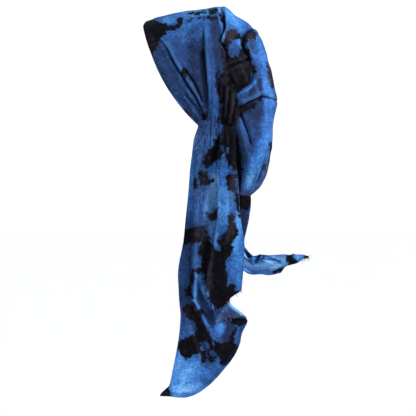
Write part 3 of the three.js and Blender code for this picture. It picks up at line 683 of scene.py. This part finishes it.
def crown_wrinkles(base, share, across):
    """Height of the wrinkles, which fade towards every edge of the cloth."""
    face, nape, gather = WRINKLES_FADE
    quiet = smooth(0, face, share) * smooth(0, nape, 1 - share) * smooth(0, gather, 1 - np.abs(across))
    rumpled = smooth(*RUMPLED_Y, base[..., 1]) * (1 - smooth(*RUMPLED_Z, base[..., 2]))
    return quiet * (
        RUN_RISE * waves(share, across, RUN_TURNS, 1)
        + SWELL_RISE * grain(base, SWELL_SIZE, 2)
        + DIMPLE_RISE * grain(base, DIMPLE_SIZE, 3)
        + (CREASED_RISE + RUMPLED_RISE * rumpled) * creased(base, CREASED_SIZE, 4)
    )


def lowest_near(height):
    """The lowest height within two steps of each point, except at the edges."""
    low = height.copy()
    for shift in (1, 2, -1, -2):
        for axis in (0, 1):
            low = np.minimum(low, np.roll(height, shift, axis))
    low[:2], low[-2:], low[:, :2], low[:, -2:] = height[:2], height[-2:], height[:, :2], height[:, -2:]
    return low


def crown_surface():
    """Outer and inner points of the crown's cloth, and how deep each point lies in a crease."""
    share, across = grid(CROWN_STEPS, -1)
    base = crown_base(share, across)
    normal = normals(crown_base, share, across)
    out = 1 - np.abs(across)
    folds, lean, calm = crown_folds(base, share, out)
    pleats = pleat_height(share, across) * (0.3 + 0.7 * calm)
    drawn_in = DRAW_DEPTH * np.exp(-((out / DRAW_REACH) ** 2))
    height = folds + pleats + crown_wrinkles(base, share, across) - drawn_in
    tucked = (1 - smooth(0, TUCK_REACH, out)) * (1 - smooth(*TUCK_END, share))
    shifted = base.copy()
    shifted[..., 1:] += lean
    shifted[..., 2] -= TUCK_DOWN * tucked
    sideways = np.zeros(base.shape)
    sideways[..., 0] = SIDEWAYS * np.sign(base[..., 0]) * smooth(*SIDEWAYS_FROM, np.abs(base[..., 0]))
    push = normal + sideways
    push /= np.linalg.norm(push, axis=-1, keepdims=True)
    hem = 1 + HEM_EXTRA * (1 - smooth(*HEM_REACH, share))
    outer = shifted + push * height[..., None]
    inner = shifted + push * lowest_near(height)[..., None] - normal * (WALL * hem)[..., None]
    return outer, inner, crease_depth(height)


def left_tie(across, down):
    """The left tie's middle surface: across from its first line, down from seam to cut end."""
    line = across * (len(TIE_DEPTHS) - 1)
    lines_y = LEFT_TIE_ROWS[:, 3:]
    top = seam_height(curve_through(lines_y[0], line))
    z = top + (curve_through(LEFT_TIE_ENDS, line) - top) * down
    level = np.interp(-z, -LEFT_TIE_ROWS[:, 0], np.arange(len(LEFT_TIE_ROWS)))
    by_row = [curve_through(row, line) for row in lines_y]
    by_row = [2 * by_row[0] - by_row[1], *by_row, 2 * by_row[-1] - by_row[-2]]
    y = np.zeros(z.shape)
    for i in range(len(lines_y) - 1):
        here = hermite(*by_row[i : i + 4], level - i)
        y = np.where(level >= i, here, y)
    turned = smooth(1 - CORNER_REACH, 1, down) * smooth(1 - CORNER_REACH, 1, 1 - across)
    depth = curve_through(LEFT_TIE_ROWS[:, 1], level) * curve_through(TIE_DEPTHS, line)
    x = curve_through(LEFT_TIE_ROWS[:, 2], level) + depth
    moved = (x + CORNER_OUT * turned, y - CORNER_FORWARD * turned, z + CORNER_UP * turned)
    return np.stack(moved, axis=-1)


def right_tie(across, down):
    """The right tie's middle surface: across from its last line, down from seam to cut end."""
    line = (1 - across) * (len(TIE_DEPTHS) - 1)
    step = 0.02

    def place(share):
        t = even_steps(RIGHT_TIE_ROWS[:, :3], share)
        row = curve_through(RIGHT_TIE_ROWS, t)
        ahead = curve_through(RIGHT_TIE_ROWS, t + step) - curve_through(RIGHT_TIE_ROWS, t - step)
        length = np.hypot(ahead[..., 1], ahead[..., 2])
        flat = curve_through(RIGHT_TIE_FLAT, line)
        side = flat + (curve_through(RIGHT_TIE_FOLDED, line) - flat) * smooth(0, FOLDED_BY, share)
        wide = row[..., 3] * side
        depth = row[..., 4] * curve_through(TIE_DEPTHS, line)
        offset = (-depth, -ahead[..., 2] / length * wide, ahead[..., 1] / length * wide)
        return row[..., :3] + np.stack(offset, axis=-1)

    top = place(np.zeros(down.shape))
    points = place(down * curve_through(RIGHT_TIE_CUT, line))
    points[..., 2] += (seam_height(top[..., 1]) - top[..., 2]) * (1 - smooth(0, FOLDED_BY, down))
    return points


def tie_wrinkles(across, down, line, crumple, seed):
    """Height of the pleats below a tie's seam, and of its finer folds."""
    drift = TIE_DRIFT * waves(across, down, DRIFT_TURNS, seed)
    broad = smooth(*PLEAT_LINES, line) * (1 - smooth(*PLEAT_DOWN, down))
    gathers = PLEAT_RISE * broad * pleated(math.pi * PLEAT_COUNT * (across + drift) + 1)
    calm = smooth(0, CALM_TOP, down) * smooth(0, CALM_END, 1 - down)
    low = 1 + crumple * smooth(*CRUMPLED_FROM, down)
    slant = across + down * RUMPLE_SLANT
    return gathers + calm * low * (
        LONG_RISE * waves(across, down, LONG_TURNS, seed + 1)
        + DENT_RISE * waves(across, down, DENT_TURNS, seed + 2)
        + RUMPLE_RISE * creased(plane(slant * RUMPLE_TURNS[0], down * RUMPLE_TURNS[1]), 1, seed + 3)
    )


def hem_distance(points, line):
    """How far each point of a tie is from its cut end, NO_HEM more on the lines without a hem."""
    steps = np.linalg.norm(np.diff(points, axis=1), axis=-1)
    from_end = np.cumsum(steps[:, ::-1], axis=1)[:, ::-1]
    from_end = np.concatenate([from_end, np.zeros((len(from_end), 1))], axis=1)
    return from_end + NO_HEM * smooth(*HEM_LINES, line)


def tie_surface(middle, lines, folds, crumple, seed):
    """Outer and inner points of a tie's cloth, its crease depth, and how far each is from the hem."""
    across, down = grid(TIE_STEPS)
    points = middle(across, down)
    normal = normals(middle, across, down, low_b=0.0)
    line = np.broadcast_to(np.linspace(*lines, TIE_STEPS[0] + 1)[:, None], across.shape)
    height = np.zeros(across.shape)
    shifted = points.copy()
    for first, last, rows in folds:
        rise, tilt = fold_shift(rows, points[..., 1], points[..., 2])
        on = smooth(first - 1, first, line) * (1 - smooth(last, last + 1, line))
        height += on * rise
        shifted[..., 1:] += on[..., None] * tilt
    height += tie_wrinkles(across, down, line, crumple, seed)
    ragged = crumple * smooth(*RAGGED_FROM, down)
    for axis, stray, turns in RAGGED:
        shifted[..., axis] += stray * ragged * waves(across, down, turns, seed + 3 + axis)
    half = TIE_WALL / 2
    outer = shifted + normal * (height + half)[..., None]
    inner = shifted + normal * (height - half)[..., None]
    crease = crease_depth(outer[..., 0] * np.sign(normal[..., 0].mean()))
    return outer, inner, crease, hem_distance(points, line)


def border_walk(shape):
    """The border of a grid as one closed walk of rows and columns."""
    rows, columns = shape[0] - 1, shape[1] - 1
    walk = [(i, 0) for i in range(rows)]
    walk += [(rows, j) for j in range(columns)]
    walk += [(i, columns) for i in range(rows, 0, -1)]
    walk += [(0, j) for j in range(columns, 0, -1)]
    return np.array(walk)


def grid_faces(shape):
    index = np.arange(shape[0] * shape[1]).reshape(shape)
    corners = (index[:-1, :-1], index[:-1, 1:], index[1:, 1:], index[1:, :-1])
    return np.stack(corners, -1).reshape(-1, 4)


def add_piece(name, points, faces):
    """A new object in the scene; its points are in millimetres."""
    mesh = bpy.data.meshes.new(name)
    mesh.from_pydata((np.array(points, float) * MM).tolist(), [], faces)
    piece = bpy.data.objects.new(name, mesh)
    bpy.context.scene.collection.objects.link(piece)
    return piece


def edge_rings(outer, inner, walk):
    """Rings of points that round a wall's edge, along a walk of its border."""
    at = tuple(walk.T)
    inside = tuple(np.clip(walk, 1, np.array(outer.shape[:2]) - 2).T)
    middle = (outer[at] + inner[at]) / 2
    half = (outer[at] - inner[at]) / 2
    away = middle - (outer[inside] + inner[inside]) / 2
    away /= np.maximum(np.linalg.norm(away, axis=1, keepdims=True), 1e-6)
    away *= np.linalg.norm(half, axis=1, keepdims=True)
    return [middle + half * math.cos(a) + away * math.sin(a) for a in np.radians(EDGE_TURNS)]


def wall_faces(shape, coarse, walk, ring_count, skip):
    """Faces of a wall's outer grid, of its coarse inner one, and of the edge between them."""
    inner_start = shape[0] * shape[1]
    faces = grid_faces(shape).tolist()
    faces += (grid_faces(coarse)[:, ::-1] + inner_start).tolist()
    first = inner_start + coarse[0] * coarse[1]
    loops = [walk[:, 0] * shape[1] + walk[:, 1]]
    loops += [first + k * len(walk) + np.arange(len(walk)) for k in range(ring_count)]
    loops.append(inner_start + (walk[:, 0] // skip) * coarse[1] + walk[:, 1] // skip)
    for low, high in zip(loops[:-1], loops[1:]):
        for a, b, c, d in zip(low, np.roll(low, -1), np.roll(high, -1), high):
            faces.append([int(a), int(b), int(c)] + ([int(d)] if c != d else []))
    return faces


def wall_mesh(name, outer, inner, crease, marks, dull=1.0, skip=1):
    """A closed cloth wall with rounded edges.

    dull: how much duller its wrong side is; skip: 2 leaves out every second line inside.
    """
    walk = border_walk(crease.shape)
    rings = edge_rings(outer, inner, walk)
    coarse = inner[::skip, ::skip]
    faces = wall_faces(crease.shape, coarse.shape[:2], walk, len(rings), skip)
    points = np.concatenate([outer.reshape(-1, 3), coarse.reshape(-1, 3), *rings])
    piece = add_piece(name, points, faces)
    mesh = piece.data
    mesh.polygons.foreach_set("use_smooth", np.ones(len(mesh.polygons), bool))
    spread = {
        mark: [values.ravel(), values[::skip, ::skip].ravel()] + [values[tuple(walk.T)]] * len(rings)
        for mark, values in marks.items()
    }
    edge = np.zeros(len(rings) * len(walk))
    inside_crease = -crease[::skip, ::skip].ravel()
    spread["crease"] = [crease.ravel(), inside_crease, edge]
    spread["wrong_side"] = [np.zeros(crease.size), np.full(inside_crease.size, dull), edge]
    for mark, values in spread.items():
        layer = mesh.attributes.new(mark, "FLOAT", "POINT")
        layer.data.foreach_set("value", np.concatenate(values).astype(np.float32))
    return piece


def thread_tube(start, way, length, rng):
    """Points and faces of one loose thread, a tapered tube that curls as it goes."""
    steps, sides = THREAD_STEPS, THREAD_SIDES
    curl = rng.normal(0, THREAD_CURL, 3)
    at, points, faces = np.array(start, float), [], []
    for k in range(steps + 1):
        way = way + curl / steps * k
        way = way / np.linalg.norm(way)
        beside = np.cross(way, (0.3, 0.5, 0.8))
        beside /= np.linalg.norm(beside)
        above = np.cross(way, beside)
        radius = THREAD_RADIUS * (1 - THREAD_TAPER * k / steps)
        for turn in np.arange(sides) * 2 * math.pi / sides:
            points.append(at + radius * (math.cos(turn) * beside + math.sin(turn) * above))
        at = at + way * length / steps
    for k in range(steps):
        for j in range(sides):
            a, b = k * sides + j, k * sides + (j + 1) % sides
            faces.append([a, b, b + sides, a + sides])
    faces.append(list(range(sides))[::-1])
    faces.append([steps * sides + j for j in range(sides)])
    return points, faces


def fringe_mesh(name, edge, loose):
    """Threads that fray from the loose points of a cut edge."""
    rng = np.random.default_rng(THREAD_SEED)
    points, faces = [], []
    places = np.flatnonzero(loose) if loose.any() else np.arange(len(edge))
    for place in rng.choice(places, THREADS):
        way = np.array(THREAD_WAY) + rng.normal(0, THREAD_SPREAD, 3)
        more, sides = thread_tube(edge[place], way, rng.uniform(*THREAD_LENGTHS), rng)
        faces += [[corner + len(points) for corner in side] for side in sides]
        points += more
    return add_piece(name, points, faces)


def depth_in(outline, y, z):
    """How far inside an outline each point lies, in millimetres, below zero outside it."""
    corners = np.reshape(outline, (-1, 2))
    inside = np.zeros(y.shape, bool)
    nearest = np.full(y.shape, np.inf)
    for (ay, az), (by, bz) in zip(corners, np.roll(corners, -1, axis=0)):
        part = np.clip(
            ((y - ay) * (by - ay) + (z - az) * (bz - az)) / ((by - ay) ** 2 + (bz - az) ** 2), 0, 1
        )
        nearest = np.minimum(nearest, np.hypot(y - ay - (by - ay) * part, z - az - (bz - az) * part))
        if az != bz:
            crosses = (az > z) != (bz > z)
            inside ^= crosses & (y < ay + (z - az) * (by - ay) / (bz - az))
    return np.where(inside, nearest, -nearest)


def black_chart(patches, clear, y, z):
    depth = np.full(y.shape, FAR)
    for outline in patches:
        depth = np.maximum(depth, depth_in(outline, y, z))
    for outline in clear:
        depth = np.minimum(depth, -depth_in(outline, y, z))
    return depth


def spot(y, z, at_y, at_z, along, across, tilt):
    """From 1 at a spot's middle to 0 well outside it."""
    turn = math.radians(tilt)
    u = ((y - at_y) * math.cos(turn) + (z - at_z) * math.sin(turn)) / along
    v = ((z - at_z) * math.cos(turn) - (y - at_y) * math.sin(turn)) / across
    return np.exp(-(u * u + v * v) * SPOT_EDGE)


def tone_chart(tones, y, z):
    weight = np.full(y.shape, BETWEEN_WEIGHT)
    total = BETWEEN_TONES * weight
    for tone, *place in tones:
        here = spot(y, z, *place) * NARROW_TELLS / place[3]
        total += tone * here
        weight += here
    return total / weight


def fade_and_sheen_chart(places, y, z):
    return 1 - np.prod([1 - amount * spot(y, z, *place) for amount, *place in places], axis=0)


def free_pattern(points, middle, *noises):
    """Noises about a middle value: rise, size and seed of each."""
    return sum(rise * grain(points, size, seed) for rise, size, seed in noises) + middle


def dye_and_light_marks(points, black, clear, tones, fade_and_sheen, charted):
    """Depth into the black (dye and painted shadow) in centimetres, tone (dye, painted highlights and
    painted shade) and greying (fading, painted sheen and painted shade), free where not charted.
    """
    y, z = points[..., 1], points[..., 2]
    free_black = free_pattern(points, *FREE_BLACK)
    free_tone = free_pattern(points, *FREE_TONE)
    free_fading = free_pattern(points, *FREE_FADING)
    return {
        "black_dye_and_shadow": (charted * black_chart(black, clear, y, z) + (1 - charted) * free_black) / 10,
        "tone": charted * tone_chart(tones, y, z) + (1 - charted) * free_tone,
        "fade_and_sheen": charted * fade_and_sheen_chart(fade_and_sheen, y, z) + (1 - charted) * free_fading,
    }


def link(tree, source, target):
    tree.links.new(source, target)


def maths(tree, operation, first, second=None):
    node = tree.nodes.new("ShaderNodeMath")
    node.operation = operation
    for socket, value in zip(node.inputs, (first, second)):
        if value is None:
            continue
        if isinstance(value, (int, float)):
            socket.default_value = value
        else:
            link(tree, value, socket)
    return node.outputs[0]


def times(tree, first, second):
    return maths(tree, "MULTIPLY", first, second)


def plus(tree, first, second):
    return maths(tree, "ADD", first, second)


def set_inputs(node, values):
    for name, value in values.items():
        node.inputs[name].default_value = value


def ramp(tree, value, low, high, most=1.0):
    """From 0 to most as a value runs from low to high."""
    node = tree.nodes.new("ShaderNodeMapRange")
    node.interpolation_type = "SMOOTHSTEP"
    set_inputs(node, {"From Min": low, "From Max": high, "To Max": most})
    link(tree, value, node.inputs["Value"])
    return node.outputs["Result"]


def cloud(tree, place, scale, detail, roughness, strength=1.0):
    """Noise about 0, with features about 1/scale metres across."""
    node = tree.nodes.new("ShaderNodeTexNoise")
    set_inputs(node, {"Scale": scale, "Detail": detail, "Roughness": roughness})
    link(tree, place, node.inputs["Vector"])
    return times(tree, maths(tree, "SUBTRACT", node.outputs["Fac"], 0.5), strength)


def mixed(tree, share, first, second):
    node = tree.nodes.new("ShaderNodeMix")
    node.data_type = "RGBA"
    sockets = [s for s in node.inputs if s.type == "RGBA"]
    for socket, value in zip(sockets, (first, second)):
        if isinstance(value, tuple):
            socket.default_value = value
        else:
            link(tree, value, socket)
    link(tree, share, node.inputs[0])
    return [s for s in node.outputs if s.type == "RGBA"][0]


def marked(tree, name):
    node = tree.nodes.new("ShaderNodeAttribute")
    node.attribute_name = name
    return node.outputs["Fac"]


def with_crest_highlight(tree, under, cover, span):
    """A painted highlight: a colour with another one over it on the crests of folds."""
    crest = times(tree, marked(tree, "crease"), -1.0)
    return mixed(tree, ramp(tree, crest, *span), under, cover)


def blues(tree, place):
    """Blues that drift from navy to pale, greyed by fading and by painted sheen and shade where marked,
    with a painted highlight on crests.
    """
    tone = marked(tree, "tone")
    for mottling in MOTTLING:
        tone = plus(tree, tone, cloud(tree, place, *mottling))
    blue = NAVY_DYE
    for low, high, dye_and_light in BLUES:
        blue = mixed(tree, ramp(tree, tone, low, high), blue, dye_and_light)
    grey = mixed(tree, ramp(tree, tone, *GREY_RANGE), FADE_AND_SHEEN_DARK, FADE_AND_SHEEN_LIGHT)
    # Greyed by fading and by painted sheen and shade where the pile is marked
    patchy = plus(tree, marked(tree, "fade_and_sheen"), cloud(tree, place, *FADE_AND_SHEEN_NOISE))
    blue = mixed(tree, ramp(tree, patchy, *FADE_AND_SHEEN_RANGE), blue, grey)
    # Painted highlight on the crests
    return with_crest_highlight(tree, blue, CREST_HIGHLIGHT, CREST_HIGHLIGHT_RANGE)


def dye_and_light_colour(tree, place):
    """Ragged black patches on the blues, the black greyed by random wear and by painted sheen and given a
    painted highlight on crests, duller and streaked on the wrong side.
    """
    ragged = plus(tree, *(cloud(tree, place, *noise_kind) for noise_kind in BLACK_NOISES))
    field = plus(tree, marked(tree, "black_dye_and_shadow"), ragged)
    blue = mixed(tree, ramp(tree, field, *HALO_RANGE), blues(tree, place), NAVY_DYE)
    # Black greyed by wear at random and by painted sheen where the pile is marked
    wear_and_sheen = times(tree, marked(tree, "fade_and_sheen"), WEAR_AND_SHEEN_SHARE)
    wear_and_sheen = plus(tree, wear_and_sheen, cloud(tree, place, *WEAR_AND_SHEEN_NOISE))
    black = mixed(tree, ramp(tree, wear_and_sheen, *WEAR_AND_SHEEN_RANGE), BLACK_DYE, BLACK_WEAR_AND_SHEEN)
    # Painted highlight on the black's crests
    black = with_crest_highlight(tree, black, BLACK_WEAR_AND_SHEEN, BLACK_CREST_HIGHLIGHT_RANGE)
    colour = mixed(tree, ramp(tree, field, *BLACK_RANGE), blue, black)
    streaks = ramp(tree, cloud(tree, place, *STREAK_NOISE), *STREAK_RANGE)
    dull = mixed(tree, plus(tree, streaks, WRONG_SHARE), colour, WRONG_SIDE)
    return mixed(tree, marked(tree, "wrong_side"), colour, dull)


def hem_seam(tree):
    """1 on the two rows of stitches that hold the hem, 0 beside them."""
    share = None
    for row in HEM_STITCHES:
        away = maths(tree, "ABSOLUTE", maths(tree, "SUBTRACT", marked(tree, "from_hem"), row))
        line = maths(tree, "SUBTRACT", 1.0, ramp(tree, away, *STITCH_WIDTH))
        share = line if share is None else maths(tree, "MAXIMUM", share, line)
    return share


def velour():
    """The cloth: coloured as above, with painted shade darkening its creases, and a soft nap."""
    material = bpy.data.materials.new("tie_dyed_velour")
    material.use_nodes = True
    tree = material.node_tree
    shader = tree.nodes["Principled BSDF"]
    place = tree.nodes.new("ShaderNodeTexCoord").outputs["Object"]
    colour = dye_and_light_colour(tree, place)
    # Painted shade darkening the creases
    crease_shade = ramp(tree, marked(tree, "crease"), *CREASE_SHADE_RANGE)
    colour = mixed(tree, crease_shade, colour, BLACK_DYE)
    seam = hem_seam(tree)
    colour = mixed(tree, times(tree, seam, STITCH_SHARE), colour, NAVY_DYE)
    link(tree, colour, shader.inputs["Base Color"])
    set_inputs(shader, VELOUR_PILE)
    pile = tree.nodes.new("ShaderNodeBump")
    set_inputs(pile, NAP)
    nap = plus(tree, *(cloud(tree, place, *noise_kind) for noise_kind in NAP_NOISES))
    nap = maths(tree, "SUBTRACT", nap, times(tree, seam, STITCH_DENT))
    link(tree, nap, pile.inputs["Height"])
    link(tree, pile.outputs["Normal"], shader.inputs["Normal"])
    return material


def plain(name, colour):
    material = bpy.data.materials.new(name)
    material.use_nodes = True
    shader = material.node_tree.nodes["Principled BSDF"]
    set_inputs(shader, {"Base Color": colour, "Roughness": MATT})
    return material


def make_camera():
    camera = bpy.data.objects.new("camera", bpy.data.cameras.new("camera"))
    bpy.context.scene.collection.objects.link(camera)
    centre = Vector(FRAME_CENTRE) * MM
    camera.location = centre + Vector((CAMERA_DISTANCE * MM, 0, 0))
    camera.rotation_euler = (centre - camera.location).to_track_quat("-Z", "Y").to_euler()
    camera.data.sensor_width = SENSOR
    camera.data.lens = SENSOR * CAMERA_DISTANCE / FRAME_WIDTH
    camera.data.clip_end = SIGHT
    bpy.context.scene.camera = camera


def make_world(scene):
    """A white screen all round the object, and a dim room above it."""
    world = bpy.data.worlds.new("studio")
    scene.world = world
    world.use_nodes = True
    tree = world.node_tree
    direction = tree.nodes.new("ShaderNodeTexCoord").outputs["Generated"]
    split = tree.nodes.new("ShaderNodeSeparateXYZ")
    link(tree, direction, split.inputs[0])
    light = mixed(tree, ramp(tree, split.outputs["Z"], *SCREEN_TOP), SCREEN_LIGHT, ROOM_LIGHT)
    link(tree, light, tree.nodes["Background"].inputs["Color"])


def make_studio():
    scene = bpy.context.scene
    scene.view_settings.view_transform = "Standard"
    make_world(scene)
    sun = bpy.data.objects.new("key", bpy.data.lights.new("key", "SUN"))
    sun.data.energy = KEY_STRENGTH
    sun.data.angle = math.radians(KEY_WIDTH)
    sun.rotation_euler = Vector(KEY_FROM).to_track_quat("Z", "Y").to_euler()
    scene.collection.objects.link(sun)
    square = ((-1, -1), (1, -1), (1, 1), (-1, 1))
    corners = [(x * FLOOR_HALF, y * FLOOR_HALF, FLOOR_Z) for x, y in square]
    floor = add_piece("floor", corners, [(0, 1, 2, 3)])
    floor.data.materials.append(plain("floor", FLOOR_COLOUR))


def dress(piece, node, material):
    piece.data.materials.append(material)
    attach(piece, "root")
    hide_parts(node)


def make_crown(cloth):
    outer, inner, crease = crown_surface()
    charted = smooth(*CHARTED_FROM, outer[..., 0])
    marks = dye_and_light_marks(outer, CROWN_BLACK, CROWN_CLEAR, CROWN_TONES, CROWN_FADE_AND_SHEEN, charted)
    marks["from_hem"] = np.full(crease.shape, NO_HEM)
    crown = wall_mesh("crown_cloth", outer, inner, crease, marks, skip=2)
    dress(crown, "crown", cloth)


def make_tie(side, surface, dye_and_light, dull, cloth, thread):
    outer, inner, crease, from_hem = surface
    marks = dye_and_light_marks(outer, *dye_and_light, np.ones(outer.shape[:2]))
    marks["from_hem"] = from_hem
    tie = wall_mesh(f"tie_{side}_cloth", outer, inner, crease, marks, dull)
    dress(tie, f"tail_{side}", cloth)
    cut_edge = (outer[:, -1] + inner[:, -1]) / 2
    fringe = fringe_mesh(f"tie_{side}_fringe", cut_edge, from_hem[:, -1] > FRAYED_FROM)
    dress(fringe, f"tail_{side}", thread)


make_camera()
make_studio()
velour_cloth = velour()
thread = plain("loose_thread", LOOSE_THREAD)
make_crown(velour_cloth)
left_surface = tie_surface(left_tie, (0, 11), LEFT_TIE_FOLDS, crumple=0.2, seed=21)
left_dye_and_light = (TIE_BLACK, TIE_CLEAR, TIE_TONES, TIE_FADE_AND_SHEEN)
make_tie("left", left_surface, left_dye_and_light, 1.0, velour_cloth, thread)
right_surface = tie_surface(right_tie, (11, 0), RIGHT_TIE_FOLDS, crumple=2.2, seed=31)
right_dye_and_light = (RIGHT_TIE_BLACK, (), RIGHT_TIE_TONES, RIGHT_TIE_FADE_AND_SHEEN)
make_tie("right", right_surface, right_dye_and_light, 0.0, velour_cloth, thread)
